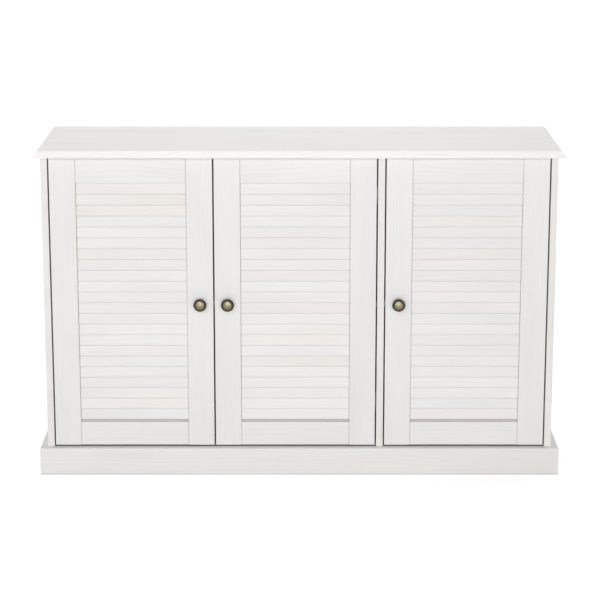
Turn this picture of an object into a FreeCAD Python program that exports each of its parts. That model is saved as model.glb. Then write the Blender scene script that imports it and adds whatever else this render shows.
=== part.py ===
import FreeCAD, Part
import math
import os
import re
import Sketcher

# A low cabinet with three louvred doors: boarded carcass, mitred plinth, moulded top,
# doors of stiles, tenoned rails and housed slats, hung on concealed cup hinges.
# +X is to the right, the doors face -Y, +Z is up; the origin is the middle of the footprint.

# Driving sizes, millimetres and degrees.
SIZES = (
    ("cabinet_width", 1420, "over the plinth, left to right"),
    ("cabinet_depth", 400, "plinth front to back edge"),
    ("cabinet_height", 900, "floor to top surface"),
    ("plinth_height", 75, "plinth and cabinet floor surface"),
    ("plinth_thickness", 20, "plinth boards"),
    ("plinth_round", 3, "rounded top edge of the plinth"),
    ("side_thickness", 18, "side panels"),
    ("partition_thickness", 18, "upright between the two bays"),
    ("floor_thickness", 18, "bottom board"),
    ("top_thickness", 18, "top board"),
    ("shelf_thickness", 18, "shelves"),
    ("rail_thickness", 18, "hidden rails under the floor"),
    ("back_thickness", 6, "back panel"),
    ("back_rebate", 8, "how far the back panel laps the sides"),
    ("panel_fit", 0.2, "play round the back panel and in housings"),
    ("housing_depth", 6, "grooves that hold the floor and partition"),
    ("top_overhang", 18, "top beyond the carcass, front and ends"),
    ("top_lip", 5, "square lip under the moulding of the top"),
    ("mould_reach", 12, "width of the moulding on the top's edge"),
    ("mould_radius", 7.4, "both curves of that moulding"),
    ("door_gap", 4, "gap all round each door"),
    ("door_thickness", 20, "stiles and rails"),
    ("stile_width", 70, "door stiles"),
    ("door_rail_height", 66, "top and bottom rails of a door"),
    ("tenon_length", 22, "rail tenons"),
    ("tenon_thickness", 8, "rail tenons"),
    ("tenon_shoulder", 10, "shoulder above and below each tenon"),
    ("tenon_fit", 0.1, "play of a tenon in its mortise"),
    ("arris", 1.2, "eased edges of stiles and rails"),
    ("slat_pitch", 30, "one slat to the next"),
    ("slat_cover", 3, "slat width beyond the pitch"),
    ("slat_thickness", 6, "slats"),
    ("slat_tilt", 17, "slats lean back from upright by this angle"),
    ("slat_recess", 1.4, "lip of a slat behind the door face"),
    ("slat_round", 1.8, "rounded edges of a slat"),
    ("slat_housing", 7, "depth of a slat's slot in the stile"),
    ("slat_fit", 0.15, "play of a slat in its slot"),
    ("knob_height", 480, "knob centre above the floor"),
    ("knob_diameter", 35, "widest part of the knob"),
    ("knob_projection", 26, "knob in front of the door"),
    ("knob_foot", 17, "foot of the knob"),
    ("knob_neck", 12, "waist of the knob"),
    ("knob_rim", 3, "upright edge of the knob's disc"),
    ("knob_bead", 2.4, "raised border on the face of the knob"),
    ("knob_bead_round", 1.4, "curve of that border"),
    ("knob_hollow", 0.8, "flat ring between the border and the dome"),
    ("knob_dome", 5, "rise of the knob's domed face"),
    ("knob_waist", 6, "waist of the knob in front of the door"),
    ("knob_base", 2, "straight edge of the knob's foot"),
    ("knob_sweep", 11, "hollow curve behind the knob's disc"),
    ("knob_bore_depth", 12, "threaded bore in the knob"),
    ("knob_screw", 4, "screw through the stile into the knob"),
    ("knob_screw_head", 8, "knob screw"),
    ("knob_head_height", 2.4, "head of the knob screw"),
    ("screw_fit", 0.1, "play round every screw, on the diameter"),
    ("screw_end", 1, "thread left free past the end of a machine screw"),
    ("hinge_from_end", 110, "hinge centre to the door's end"),
    ("cup_diameter", 35, "hinge cup"),
    ("cup_depth", 12, "hinge cup in the door"),
    ("cup_wall", 1.2, "hinge cup"),
    ("cup_from_edge", 22.5, "cup centre to the door's edge"),
    ("cup_flange", 1, "flange of the cup on the door's back"),
    ("cup_rim", 1.7, "flange beyond the cup"),
    ("cup_fit", 0.2, "play of the cup in its hole, on the diameter"),
    ("ear_span", 48, "between the two cup screws"),
    ("ear_width", 12, "ears of the cup's flange"),
    ("cup_screw", 3.5, "cup screws"),
    ("cup_screw_length", 13, "cup screws"),
    ("cup_screw_head", 6.4, "cup screws"),
    ("cup_head_height", 1, "heads of the cup screws"),
    ("plate_setback", 37, "plate screws behind the door's back"),
    ("plate_height", 50, "wings of the mounting plate"),
    ("plate_width", 16, "wings of the mounting plate"),
    ("plate_thickness", 2, "wings of the mounting plate"),
    ("plate_hole_span", 32, "between the two plate screws"),
    ("plate_screw", 5, "plate screws"),
    ("plate_screw_length", 11, "plate screws"),
    ("plate_screw_head", 7.6, "plate screws"),
    ("plate_head_height", 2, "heads of the plate and arm screws"),
    ("plate_tap_depth", 6, "threaded hole for the arm screw"),
    ("spine_width", 12, "raised middle of the mounting plate"),
    ("spine_height", 8, "raised middle of the mounting plate"),
    ("spine_length", 54, "raised middle of the mounting plate"),
    ("spine_lead", 17, "front of the spine to the plate screws"),
    ("arm_width", 11, "hinge arm"),
    ("arm_wall", 1.4, "sheet of the hinge arm"),
    ("arm_height", 9, "hinge arm above its plate"),
    ("arm_crank", 20, "how far the arm steps inwards to its cup"),
    ("arm_nose", 12, "end of the arm inside the cup"),
    ("arm_dip", 8.4, "how far the arm reaches into the cup"),
    ("arm_heel", 4.5, "arm's heel behind the front of the spine"),
    ("link_thickness", 1.2, "two plates of the folded link"),
    ("link_play", 0.3, "link plate beside the arm"),
    ("link_height", 5, "link plates"),
    ("link_pin", 3, "pin of the link in the cup"),
    ("link_pin_inset", 11, "pin to the door's edge"),
    ("link_pin_depth", 6, "pin below the door's back"),
    ("link_end_inset", 4, "far end of the link to the outer side of the arm's nose"),
    ("shelf_height", 462, "underside of the shelves"),
    ("shelf_setback", 30, "shelf front behind the door face"),
    ("shelf_play", 1, "each end and the back of a shelf"),
    ("shelf_round", 2, "eased front edge of a shelf"),
    ("peg_diameter", 5, "shelf pegs"),
    ("peg_depth", 8, "peg in its hole"),
    ("peg_reach", 9, "head of a peg, under the shelf"),
    ("peg_head", 8, "head of a peg"),
    ("peg_flat", 3, "flat that the shelf rests on, above the peg's centre"),
    ("peg_inset", 48, "pegs to the panel's front edge and to the back"),
    ("peg_step", 32, "spacing of the peg holes"),
    ("peg_holes", 3, "holes in each row, the peg in the second"),
    ("peg_fit", 0.1, "play of a peg in its hole, on the diameter"),
    ("dowel_diameter", 8, "dowels between top and uprights"),
    ("dowel_in_top", 11, "dowel in the top board"),
    ("dowel_length", 30, "dowels"),
    ("dowel_inset", 60, "end dowels to the panel's edges"),
    ("dowel_fit", 0.1, "play of a dowel, on the diameter"),
    ("back_screw", 3.5, "back panel screws"),
    ("back_screw_head", 7, "back panel screws"),
    ("back_screw_length", 22, "back panel screws"),
    ("back_screw_inset", 60, "end screws to the panel's top and bottom"),
    ("back_screw_rows", 4, "screws in each upright"),
)

# Sizes and places that follow from them.
DERIVED = (
    ("front_plane", "-(cabinet_depth - knob_projection + plinth_thickness) / 2", "plinth front"),
    ("face_plane", "front_plane + plinth_thickness", "door faces and carcass front edges"),
    ("panel_depth", "cabinet_depth - plinth_thickness", "side panels, front to back"),
    ("inner_depth", "panel_depth - back_thickness", "in front of the back panel"),
    ("outer_side", "cabinet_width / 2 - plinth_thickness", "outside of a side panel"),
    ("inner_side", "outer_side - side_thickness", "inside of a side panel"),
    ("under_top", "cabinet_height - top_thickness", "underside of the top"),
    ("under_floor", "plinth_height - floor_thickness", "underside of the bottom board"),
    ("door_width", "(2 * inner_side - partition_thickness - 5 * door_gap) / 3", "three equal doors"),
    ("door_bottom", "plinth_height + door_gap", "bottom edge of the doors"),
    ("door_height", "under_top - door_gap - door_bottom", "doors"),
    ("partition_left", "inner_side - 2 * door_gap - door_width - partition_thickness", "its left face"),
    ("partition_right", "partition_left + partition_thickness", "its right face"),
    ("partition_middle", "partition_left + partition_thickness / 2", "its middle"),
    ("left_door_left", "-inner_side + door_gap", "left edge of the left door"),
    ("middle_door_left", "left_door_left + door_width + door_gap", "left edge of the middle door"),
    ("right_door_left", "partition_right + door_gap", "left edge of the right door"),
    ("louvre_width", "door_width - 2 * stile_width", "between the stiles"),
    ("louvre_height", "door_height - 2 * door_rail_height", "between the rails"),
    ("slat_count", "floor(louvre_height / slat_pitch)", "slats in a door"),
    ("slat_width", "slat_pitch + slat_cover", "along the slat's slope"),
    ("tongue_rise", "louvre_height - slat_count * slat_pitch + slat_cover", "behind the last slat"),
    ("lip_back", "slat_recess + slat_thickness / cos(slat_tilt)", "back of a slat level with its lip"),
    ("tongue_front", "lip_back + slat_cover * tan(slat_tilt) + slat_fit", "tongue behind the door face"),
    ("first_slat", "door_height - door_rail_height - slat_pitch", "lip of the top slat in the door"),
    ("tenon_back", "(door_thickness - tenon_thickness) / 2", "tenon behind the door face"),
    ("tenon_height", "door_rail_height - 2 * tenon_shoulder", "rail tenons"),
    ("dome_reach", "knob_diameter / 2 - knob_bead - knob_hollow", "radius of the knob's domed face"),
    ("dome_radius", "(dome_reach ^ 2 + knob_dome ^ 2) / (2 * knob_dome)", "its curve"),
    ("hinge_span", "door_height - 2 * hinge_from_end", "between the two hinges of a door"),
    ("low_hinge", "door_bottom + hinge_from_end", "lower hinge above the floor"),
    ("plate_back", "door_thickness + plate_setback", "plate screws behind the door face"),
    ("spine_front", "plate_back - spine_lead", "front of the plate's spine"),
    ("arm_top", "spine_height + arm_height", "outer side of the arm over its plate"),
    ("nose_top", "arm_top + arm_crank", "outer side of the arm's nose"),
    ("nose_depth", "door_thickness - arm_dip", "end of the arm behind the door face"),
    ("shelf_front", "face_plane + shelf_setback", "front edge of the shelves"),
    ("shelf_depth", "inner_depth - shelf_setback - shelf_play", "shelves"),
    ("peg_height", "shelf_height - peg_flat", "peg centre above the floor"),
    ("peg_half_flat", "sqrt(peg_head ^ 2 / 4 - peg_flat ^ 2)", "half the width of its flat"),
    ("peg_span", "inner_depth - 2 * peg_inset", "front pegs to back pegs"),
    ("dowel_span", "(panel_depth - 2 * dowel_inset) / 2", "one dowel to the next"),
    ("back_bottom", "under_floor + panel_fit", "lower edge of the back panel"),
    ("back_height", "under_top - panel_fit - back_bottom", "back panel"),
    ("back_row", "(back_height - 2 * back_screw_inset) / (back_screw_rows - 1)", "between back screws"),
    ("back_column", "inner_side + back_rebate / 2", "back screws in the side panels"),
)

doc = FreeCAD.newDocument("louvred_cabinet")
sheet = doc.addObject("Spreadsheet::Sheet", "Dims")
aliases = {row[0] for row in SIZES + DERIVED}


def formula(text, prefix="Dims."):
    """The text as an expression, with each size's name made a reference to its cell."""
    return re.sub(r"[a-z]+(_[a-z]+)*", lambda word: prefix + word.group()
                  if word.group() in aliases else word.group(), str(text))


def fill_sheet():
    rows = [(alias, str(number), note) for alias, number, note in SIZES]
    rows += [(alias, "=" + text, note) for alias, text, note in DERIVED]
    for line, (alias, content, note) in enumerate(rows, 1):
        sheet.set(f"A{line}", note)
        sheet.set(f"B{line}", content)
        sheet.setAlias(f"B{line}", alias)
    doc.recompute()


fill_sheet()


def value(text):
    return float(sheet.evalExpression(formula(text)))


def bind(thing, prop, text):
    thing.setExpression(prop, formula(text))


def new_body(label, x="0", y="0", z="0"):
    body = doc.addObject("PartDesign::Body", label)
    body.Label = label
    for axis, text in zip("xyz", (x, y, z)):
        bind(body, f"Placement.Base.{axis}", text)
    return body


def origin_feature(body, role):
    return next(item for item in body.Origin.OriginFeatures if item.Role == role)


def new_sketch(body, plane, away="0"):
    """A sketch on the body's own XY, XZ or YZ plane, moved off it along the plane's normal."""
    sketch = body.newObject("Sketcher::SketchObject", body.Label + "_sketch")
    sketch.AttachmentSupport = [(origin_feature(body, plane + "_Plane"), "")]
    sketch.MapMode = "FlatFace"
    bind(sketch, "AttachmentOffset.Base.z", away)
    return sketch


def fix_point(sketch, element, point, across, up):
    """Dimension one point of the sketch from its origin."""
    for kind, text in (("DistanceX", across), ("DistanceY", up)):
        number = sketch.addConstraint(Sketcher.Constraint(kind, -1, 1, element, point, value(text)))
        bind(sketch, f"Constraints[{number}]", text)


def add_outline(sketch, corners):
    """A closed outline through corners (across, up). A third entry makes the stretch that ends
    there an arc of that radius, and a fourth, -1, makes it turn right and not left."""
    ends = []
    for number, corner in enumerate(corners):
        start = FreeCAD.Vector(value(corners[number - 1][0]), value(corners[number - 1][1]), 0)
        end = FreeCAD.Vector(value(corner[0]), value(corner[1]), 0)
        if len(corner) == 2:
            element = sketch.addGeometry(Part.LineSegment(start, end))
            ends.append((element, 1, 2))
            continue
        turn = corner[3] if len(corner) > 3 else 1
        radius = value(corner[2])
        chord = end - start
        reach = math.sqrt(max(radius ** 2 - chord.Length ** 2 / 4, 0))
        left = FreeCAD.Vector(-chord.y, chord.x, 0).normalize()
        middle = (start + end) / 2 + left * reach * turn
        first, last = (start, end) if turn > 0 else (end, start)
        angles = [math.atan2(spot.y - middle.y, spot.x - middle.x) for spot in (first, last)]
        if angles[1] < angles[0]:
            angles[1] += 2 * math.pi
        circle = Part.Circle(middle, FreeCAD.Vector(0, 0, 1), radius)
        element = sketch.addGeometry(Part.ArcOfCircle(circle, *angles))
        number = sketch.addConstraint(Sketcher.Constraint("Radius", element, radius))
        bind(sketch, f"Constraints[{number}]", corner[2])
        ends.append((element, 1, 2) if turn > 0 else (element, 2, 1))
    for number, (element, first, last) in enumerate(ends):
        before = ends[number - 1]
        sketch.addConstraint(Sketcher.Constraint("Coincident", before[0], before[2], element, first))
        fix_point(sketch, element, last, corners[number][0], corners[number][1])


def add_rectangle(sketch, across, up, far, high):
    add_outline(sketch, [(across, up), (far, up), (far, high), (across, high)])


def add_circles(sketch, centres, diameter):
    for across, up in centres:
        middle = FreeCAD.Vector(value(across), value(up), 0)
        circle = Part.Circle(middle, FreeCAD.Vector(0, 0, 1), value(diameter) / 2)
        element = sketch.addGeometry(circle)
        fix_point(sketch, element, 3, across, up)
        number = sketch.addConstraint(Sketcher.Constraint("Diameter", element, value(diameter)))
        bind(sketch, f"Constraints[{number}]", diameter)


def pad(body, sketch, length, back=False):
    """Thicken the sketch along its normal, or the other way."""
    feature = body.newObject("PartDesign::Pad", body.Label + "_pad")
    feature.Profile = sketch
    feature.Reversed = back
    bind(feature, "Length", length)
    doc.recompute()
    return feature


def pocket(body, sketch, length, along=False):
    """Cut against the sketch's normal, or along it."""
    before = body.Shape.Volume
    feature = body.newObject("PartDesign::Pocket", body.Label + "_pocket")
    feature.Profile = sketch
    feature.Reversed = along
    bind(feature, "Length", length)
    doc.recompute()
    if body.Shape.Volume > before - 0.01:
        raise RuntimeError(f"{feature.Label} cuts nothing")
    return feature


def ease(body, kind, size, wanted):
    """A Fillet or Chamfer on every edge of the body that the test picks."""
    base = body.Tip
    picked = [f"Edge{number}" for number, edge in enumerate(base.Shape.Edges, 1) if wanted(edge)]
    feature = body.newObject("PartDesign::" + kind, body.Label + "_" + kind.lower())
    feature.Base = (base, picked)
    bind(feature, "Radius" if kind == "Fillet" else "Size", size)
    doc.recompute()
    return feature


def pattern(body, features, axis, step, count, back=False):
    """Repeat features along one of the body's axes."""
    feature = body.newObject("PartDesign::LinearPattern", body.Label + "_pattern")
    feature.Originals = features
    feature.Direction = (origin_feature(body, axis + "_Axis"), [""])
    feature.Reversed = back
    bind(feature, "Length", f"({step}) * ({count} - 1)")
    bind(feature, "Occurrences", count)
    body.Tip = feature
    doc.recompute()
    return feature


def runs_along(edge, axis, **places):
    """Is the edge straight along this axis and at these coordinates?"""
    box = edge.BoundBox
    spans = {"x": box.XLength, "y": box.YLength, "z": box.ZLength}
    others = [span for name, span in spans.items() if name != axis]
    spots = {"x": box.Center.x, "y": box.Center.y, "z": box.Center.z}
    return max(others) < 0.01 and all(abs(spots[name] - at) < 0.01 for name, at in places.items())


def is_ring(edge, y):
    return edge.BoundBox.YLength < 0.01 and abs(edge.BoundBox.Center.y - y) < 0.01 \
        and isinstance(edge.Curve, Part.Circle)


# ---- carcass ---------------------------------------------------------------------------------

PEG_COLUMNS = ["peg_inset", "peg_inset + peg_span"]
PLATE_ROWS = [("plate_back", f"low_hinge {sign} plate_hole_span / 2") for sign in "+-"]
DOWEL_PLACES = ["dowel_inset", "dowel_inset + dowel_span", "dowel_inset + 2 * dowel_span"]
BACK_ROWS = [f"back_bottom + back_screw_inset + {row} * back_row"
             for row in range(round(value("back_screw_rows")))]
UPRIGHTS = ["-(inner_side + side_thickness / 2)", "partition_middle", "inner_side + side_thickness / 2"]


def peg_and_plate_holes(body, away, along, plates):
    """Rows of blind peg holes and, where doors hang, pilot holes, in an upright's face."""
    sketch = new_sketch(body, "YZ", away)
    add_circles(sketch, [(column, "peg_height - peg_step") for column in PEG_COLUMNS],
                "peg_diameter + peg_fit")
    holes = pocket(body, sketch, "peg_depth + peg_fit", along)
    pattern(body, [holes], "Z", "peg_step", "peg_holes")
    if plates:
        sketch = new_sketch(body, "YZ", away)
        add_circles(sketch, PLATE_ROWS, "plate_screw + screw_fit")
        holes = pocket(body, sketch, "plate_screw_length + screw_fit", along)
        pattern(body, [holes], "Z", "hinge_span", "2")


def end_holes(body, middle, column):
    """Dowel holes in an upright's top end and pilot holes in its back edge."""
    sketch = new_sketch(body, "XY", "under_top")
    add_circles(sketch, [(middle, place) for place in DOWEL_PLACES], "dowel_diameter + dowel_fit")
    pocket(body, sketch, "dowel_length - dowel_in_top + dowel_fit")
    sketch = new_sketch(body, "XZ", "-inner_depth")
    add_circles(sketch, [(column, row) for row in BACK_ROWS], "back_screw + screw_fit")
    pocket(body, sketch, "back_screw_length - back_thickness + screw_fit", True)


def side_panel(label, hand):
    """An end of the carcass, from its inner face outwards: hand is -1 at the left, 1 at the right."""
    body = new_body(label, f"{hand} * inner_side", "face_plane")
    sketch = new_sketch(body, "XY")
    add_rectangle(sketch, "0", "0", f"{hand} * side_thickness", "panel_depth")
    pad(body, sketch, "under_top")
    sketch = new_sketch(body, "YZ")
    add_rectangle(sketch, "0", "under_floor - panel_fit", "inner_depth", "plinth_height + panel_fit")
    pocket(body, sketch, "housing_depth + panel_fit", hand > 0)
    sketch = new_sketch(body, "XY", "under_floor")
    add_rectangle(sketch, "0", "inner_depth", f"{hand} * back_rebate", "panel_depth")
    pocket(body, sketch, "under_top - under_floor", True)
    peg_and_plate_holes(body, "0", hand > 0, True)
    end_holes(body, f"{hand} * side_thickness / 2", f"{hand} * back_rebate / 2")


def partition():
    """The upright between the bays: the middle door hangs on its left face."""
    body = new_body("partition", "partition_left", "face_plane")
    sketch = new_sketch(body, "XY", "plinth_height - housing_depth")
    add_rectangle(sketch, "0", "0", "partition_thickness", "inner_depth")
    pad(body, sketch, "under_top - plinth_height + housing_depth")
    peg_and_plate_holes(body, "0", True, True)
    peg_and_plate_holes(body, "partition_thickness", False, False)
    end_holes(body, "partition_thickness / 2", "partition_thickness / 2")


def bottom_board():
    body = new_body("bottom_board", "0", "face_plane", "under_floor")
    sketch = new_sketch(body, "XY")
    reach = "inner_side + housing_depth"
    add_rectangle(sketch, f"-({reach})", "0", reach, "inner_depth")
    pad(body, sketch, "floor_thickness")
    sketch = new_sketch(body, "XY", "floor_thickness")
    add_rectangle(sketch, "partition_left - panel_fit", "0", "partition_right + panel_fit", "inner_depth")
    pocket(body, sketch, "housing_depth + panel_fit")


def top_board():
    """A moulded top: a lip, a hollow that sweeps in and up, and a round that meets the surface."""
    body = new_body("top_board", "0", "face_plane - top_overhang", "under_top")
    reach = "outer_side + top_overhang"
    depth = "panel_depth + top_overhang"
    sketch = new_sketch(body, "XY")
    add_rectangle(sketch, f"-({reach})", "0", reach, depth)
    pad(body, sketch, "top_thickness")
    half = "(top_lip + top_thickness) / 2"
    for plane, edge, inwards, run in (("XZ", f"-({reach})", 1, depth), ("XZ", reach, -1, depth),
                                      ("YZ", "0", 1, f"2 * ({reach})")):
        away = "0" if plane == "XZ" else reach
        sketch = new_sketch(body, plane, away)
        add_outline(sketch, [
            (edge, "top_lip"),
            (f"{edge} + {inwards} * mould_reach / 2", half, "mould_radius", inwards),
            (f"{edge} + {inwards} * mould_reach", "top_thickness", "mould_radius", -inwards),
            (edge, "top_thickness")])
        pocket(body, sketch, run)
    sketch = new_sketch(body, "XY")
    rows = [f"top_overhang + {place}" for place in DOWEL_PLACES]
    add_circles(sketch, [(column, row) for column in UPRIGHTS for row in rows], "dowel_diameter + dowel_fit")
    pocket(body, sketch, "dowel_in_top + dowel_fit", True)


def top_dowels():
    body = new_body("top_dowels", "0", "face_plane", "under_top - dowel_length + dowel_in_top")
    sketch = new_sketch(body, "XY")
    add_circles(sketch, [(column, row) for column in UPRIGHTS for row in DOWEL_PLACES], "dowel_diameter")
    pad(body, sketch, "dowel_length")


def plinth_front():
    body = new_body("plinth_front", "0", "front_plane")
    sketch = new_sketch(body, "YZ", "-cabinet_width / 2")
    add_outline(sketch, [("0", "0"), ("plinth_thickness", "0"), ("plinth_thickness", "plinth_height"),
                         ("plinth_round", "plinth_height"),
                         ("0", "plinth_height - plinth_round", "plinth_round")])
    pad(body, sketch, "cabinet_width")
    sketch = new_sketch(body, "XY", "plinth_height")
    for hand in (-1, 1):
        corner = f"{hand} * cabinet_width / 2"
        add_outline(sketch, [(corner, "0"), (corner, "plinth_thickness"),
                             (f"{corner} - {hand} * plinth_thickness", "plinth_thickness")])
    pocket(body, sketch, "plinth_height")


def plinth_side(label, hand):
    """A plinth board wrapped round the end of the carcass, mitred to the front one."""
    body = new_body(label, f"{hand} * cabinet_width / 2", "front_plane")
    sketch = new_sketch(body, "XZ")
    inner = f"{-hand} * plinth_thickness"
    add_outline(sketch, [("0", "0"), (inner, "0"), (inner, "plinth_height"),
                         (f"{-hand} * plinth_round", "plinth_height"),
                         ("0", "plinth_height - plinth_round", "plinth_round", -hand)])
    pad(body, sketch, "cabinet_depth", True)
    sketch = new_sketch(body, "XY", "plinth_height")
    add_outline(sketch, [("0", "0"), (inner, "0"), (inner, "plinth_thickness")])
    pocket(body, sketch, "plinth_height")


def plinth_back():
    body = new_body("plinth_back", "0", "face_plane + panel_depth - rail_thickness")
    sketch = new_sketch(body, "XY")
    add_rectangle(sketch, "-inner_side", "0", "inner_side", "rail_thickness")
    pad(body, sketch, "under_floor")


def floor_support():
    """A short rail under the partition, from the front plinth to the back one."""
    body = new_body("floor_support", "partition_middle", "face_plane")
    sketch = new_sketch(body, "XY")
    add_rectangle(sketch, "-rail_thickness / 2", "0", "rail_thickness / 2", "panel_depth - rail_thickness")
    pad(body, sketch, "under_floor")


def back_panel():
    body = new_body("back_panel", "0", "face_plane + inner_depth")
    sketch = new_sketch(body, "XZ")
    reach = "inner_side + back_rebate - panel_fit"
    add_rectangle(sketch, f"-({reach})", "back_bottom", reach, "back_bottom + back_height")
    pad(body, sketch, "back_thickness", True)
    sketch = new_sketch(body, "XZ", "-back_thickness")
    add_circles(sketch, back_screw_places(), "back_screw + screw_fit")
    pocket(body, sketch, "back_thickness", True)
    back = value("back_thickness")
    ease(body, "Chamfer", "(back_screw_head - back_screw) / 2", lambda edge: is_ring(edge, back))


def back_screw_places():
    columns = ("-back_column", "partition_middle", "back_column")
    return [(column, row) for column in columns for row in BACK_ROWS]


def back_screws():
    """Countersunk screws that hold the back panel to the uprights."""
    body = new_body("back_screws", "0", "face_plane + panel_depth")
    sketch = new_sketch(body, "XZ")
    add_circles(sketch, back_screw_places(), "back_screw")
    pad(body, sketch, "back_screw_length")
    sketch = new_sketch(body, "XZ")
    add_circles(sketch, back_screw_places(), "back_screw_head - screw_fit")
    head = pad(body, sketch, "(back_screw_head - back_screw) / 2")
    head.TaperAngle = -45  # the slope of an equal chamfer, such as the panel's
    doc.recompute()


def shelf(label, left, right):
    body = new_body(label, left, "shelf_front", "shelf_height")
    sketch = new_sketch(body, "XY")
    add_rectangle(sketch, "shelf_play", "0", f"{right} - ({left}) - shelf_play", "shelf_depth")
    pad(body, sketch, "shelf_thickness")
    ease(body, "Fillet", "shelf_round", lambda edge: runs_along(edge, "x", y=0))


def shelf_pegs():
    """Four pegs to a shelf: a pin in the upright and a head with a flat for the shelf."""
    body = new_body("shelf_pegs", "0", "face_plane")
    for face, hand in (("-inner_side", -1), ("partition_left", 1),
                       ("partition_right", -1), ("inner_side", 1)):
        sketch = new_sketch(body, "YZ", face)
        add_circles(sketch, [(column, "peg_height") for column in PEG_COLUMNS], "peg_diameter")
        pad(body, sketch, "peg_depth", hand < 0)
        for column in PEG_COLUMNS:
            sketch = new_sketch(body, "YZ", face)
            add_outline(sketch, [(f"{column} - peg_half_flat", "shelf_height"),
                                 (column, "peg_height - peg_head / 2", "peg_head / 2"),
                                 (f"{column} + peg_half_flat", "shelf_height", "peg_head / 2")])
            pad(body, sketch, "peg_reach", hand > 0)


# ---- doors -----------------------------------------------------------------------------------

HINGE_ROWS = ["hinge_from_end", "hinge_from_end + hinge_span"]
EAR_ROWS = [f"{row} {sign} ear_span / 2" for row in HINGE_ROWS for sign in "+-"]

# The upright that each door hangs on, and the way from it into the doorway.
HINGE_FACES = {"left_door": ("-inner_side", 1), "middle_door": ("partition_left", -1),
               "right_door": ("inner_side", -1)}


def tilted(along, through):
    """A point of a slat's section, from its front lip: along the slope, then through the board."""
    return (f"slat_recess + ({along}) * sin(slat_tilt) + ({through}) * cos(slat_tilt)",
            f"first_slat + ({along}) * cos(slat_tilt) - ({through}) * sin(slat_tilt)")


def slat_section():
    """The section of a slat with its four edges rounded."""
    low, high = "slat_round", "slat_width - slat_round"
    near, far = "slat_round", "slat_thickness - slat_round"
    return [tilted("0", near) + ("slat_round",), tilted("0", far),
            tilted(low, "slat_thickness") + ("slat_round",), tilted(high, "slat_thickness"),
            tilted("slat_width", far) + ("slat_round",), tilted("slat_width", near),
            tilted(high, "0") + ("slat_round",), tilted(low, "0")]


def slot_section():
    """The slanted slot that takes a slat's end."""
    low, high = "-slat_fit", "slat_width + slat_fit"
    near, far = "-slat_fit", "slat_thickness + slat_fit"
    return [tilted(low, near), tilted(low, far), tilted(high, far), tilted(high, near)]


def stile(label, door_left, hand, hinged):
    """An upright of a door, from its inner edge outwards: hand is -1 at the door's left, 1 at its
    right. Slots and mortises are cut in the inner edge, the cups' holes in the back."""
    inner = "stile_width" if hand < 0 else "door_width - stile_width"
    body = new_body(label, f"{door_left} + {inner}", "face_plane", "door_bottom")
    sketch = new_sketch(body, "XY")
    add_rectangle(sketch, "0", "0", f"{hand} * stile_width", "door_thickness")
    pad(body, sketch, "door_height")
    ease(body, "Fillet", "arris", lambda edge: runs_along(edge, "z", y=0))
    sketch = new_sketch(body, "YZ")
    for low in ("tenon_shoulder", "door_height - door_rail_height + tenon_shoulder"):
        add_rectangle(sketch, "tenon_back - tenon_fit", f"{low} - tenon_fit",
                      "tenon_back + tenon_thickness + tenon_fit", f"{low} + tenon_height + tenon_fit")
    pocket(body, sketch, "tenon_length + tenon_fit", hand > 0)
    sketch = new_sketch(body, "YZ")
    add_outline(sketch, slot_section())
    slot = pocket(body, sketch, "slat_housing + slat_fit", hand > 0)
    pattern(body, [slot], "Z", "slat_pitch", "slat_count", True)
    if hinged:
        sketch = new_sketch(body, "XZ", "-door_thickness")
        middle = f"{hand} * (stile_width - cup_from_edge)"
        add_circles(sketch, [(middle, row) for row in HINGE_ROWS], "cup_diameter + cup_fit")
        pocket(body, sketch, "cup_depth + cup_fit", True)
        sketch = new_sketch(body, "XZ", "-door_thickness")
        add_circles(sketch, [(middle, row) for row in EAR_ROWS], "cup_screw + screw_fit")
        pocket(body, sketch, "cup_screw_length + screw_fit", True)
    else:
        sketch = new_sketch(body, "XZ", "-door_thickness")
        add_circles(sketch, [(f"{hand} * stile_width / 2", "knob_height - door_bottom")],
                    "knob_screw + screw_fit")
        pocket(body, sketch, "door_thickness", True)


def door_rail(label, door_left, top):
    """A rail between the stiles, its ends bevelled so that each joint shows as a groove. The top one
    is rebated at the back, over the first slat, and the bottom one has a tongue behind the last."""
    low = "door_height - door_rail_height" if top else "0"
    body = new_body(label, f"{door_left} + stile_width", "face_plane", f"door_bottom + {low}")
    sketch = new_sketch(body, "YZ")
    if top:
        head = "slat_width * cos(slat_tilt) - slat_pitch + slat_fit"
        front = "slat_recess + slat_pitch * sin(slat_tilt) - slat_fit"
        outline = [("arris", "0"), (front, "0"), (front, head), ("door_thickness", head),
                   ("door_thickness", "door_rail_height")]
    else:
        tip = "door_rail_height + tongue_rise"
        outline = [("arris", "0"), ("door_thickness", "0"), ("door_thickness", tip), ("tongue_front", tip),
                   ("tongue_front", "door_rail_height")]
    add_outline(sketch, outline + [("arris", "door_rail_height"),
                                   ("0", "door_rail_height - arris", "arris"), ("0", "arris")])
    pad(body, sketch, "louvre_width")
    sketch = new_sketch(body, "XY")
    for end, inside in (("0", "arris"), ("louvre_width", "louvre_width - arris")):
        add_outline(sketch, [(end, "0"), (inside, "0"), (end, "arris")])
    pocket(body, sketch, "door_rail_height", True)
    sketch = new_sketch(body, "YZ", "-tenon_length")
    add_rectangle(sketch, "tenon_back", "tenon_shoulder", "tenon_back + tenon_thickness",
                  "door_rail_height - tenon_shoulder")
    pad(body, sketch, "louvre_width + 2 * tenon_length")


def door_slats(label, door_left):
    """The louvre: equal slats, each housed in the stiles at both ends."""
    body = new_body(label, f"{door_left} + stile_width", "face_plane", "door_bottom")
    sketch = new_sketch(body, "YZ", "-slat_housing")
    add_outline(sketch, slat_section())
    slat = pad(body, sketch, "louvre_width + 2 * slat_housing")
    pattern(body, [slat], "Z", "slat_pitch", "slat_count", True)


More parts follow.
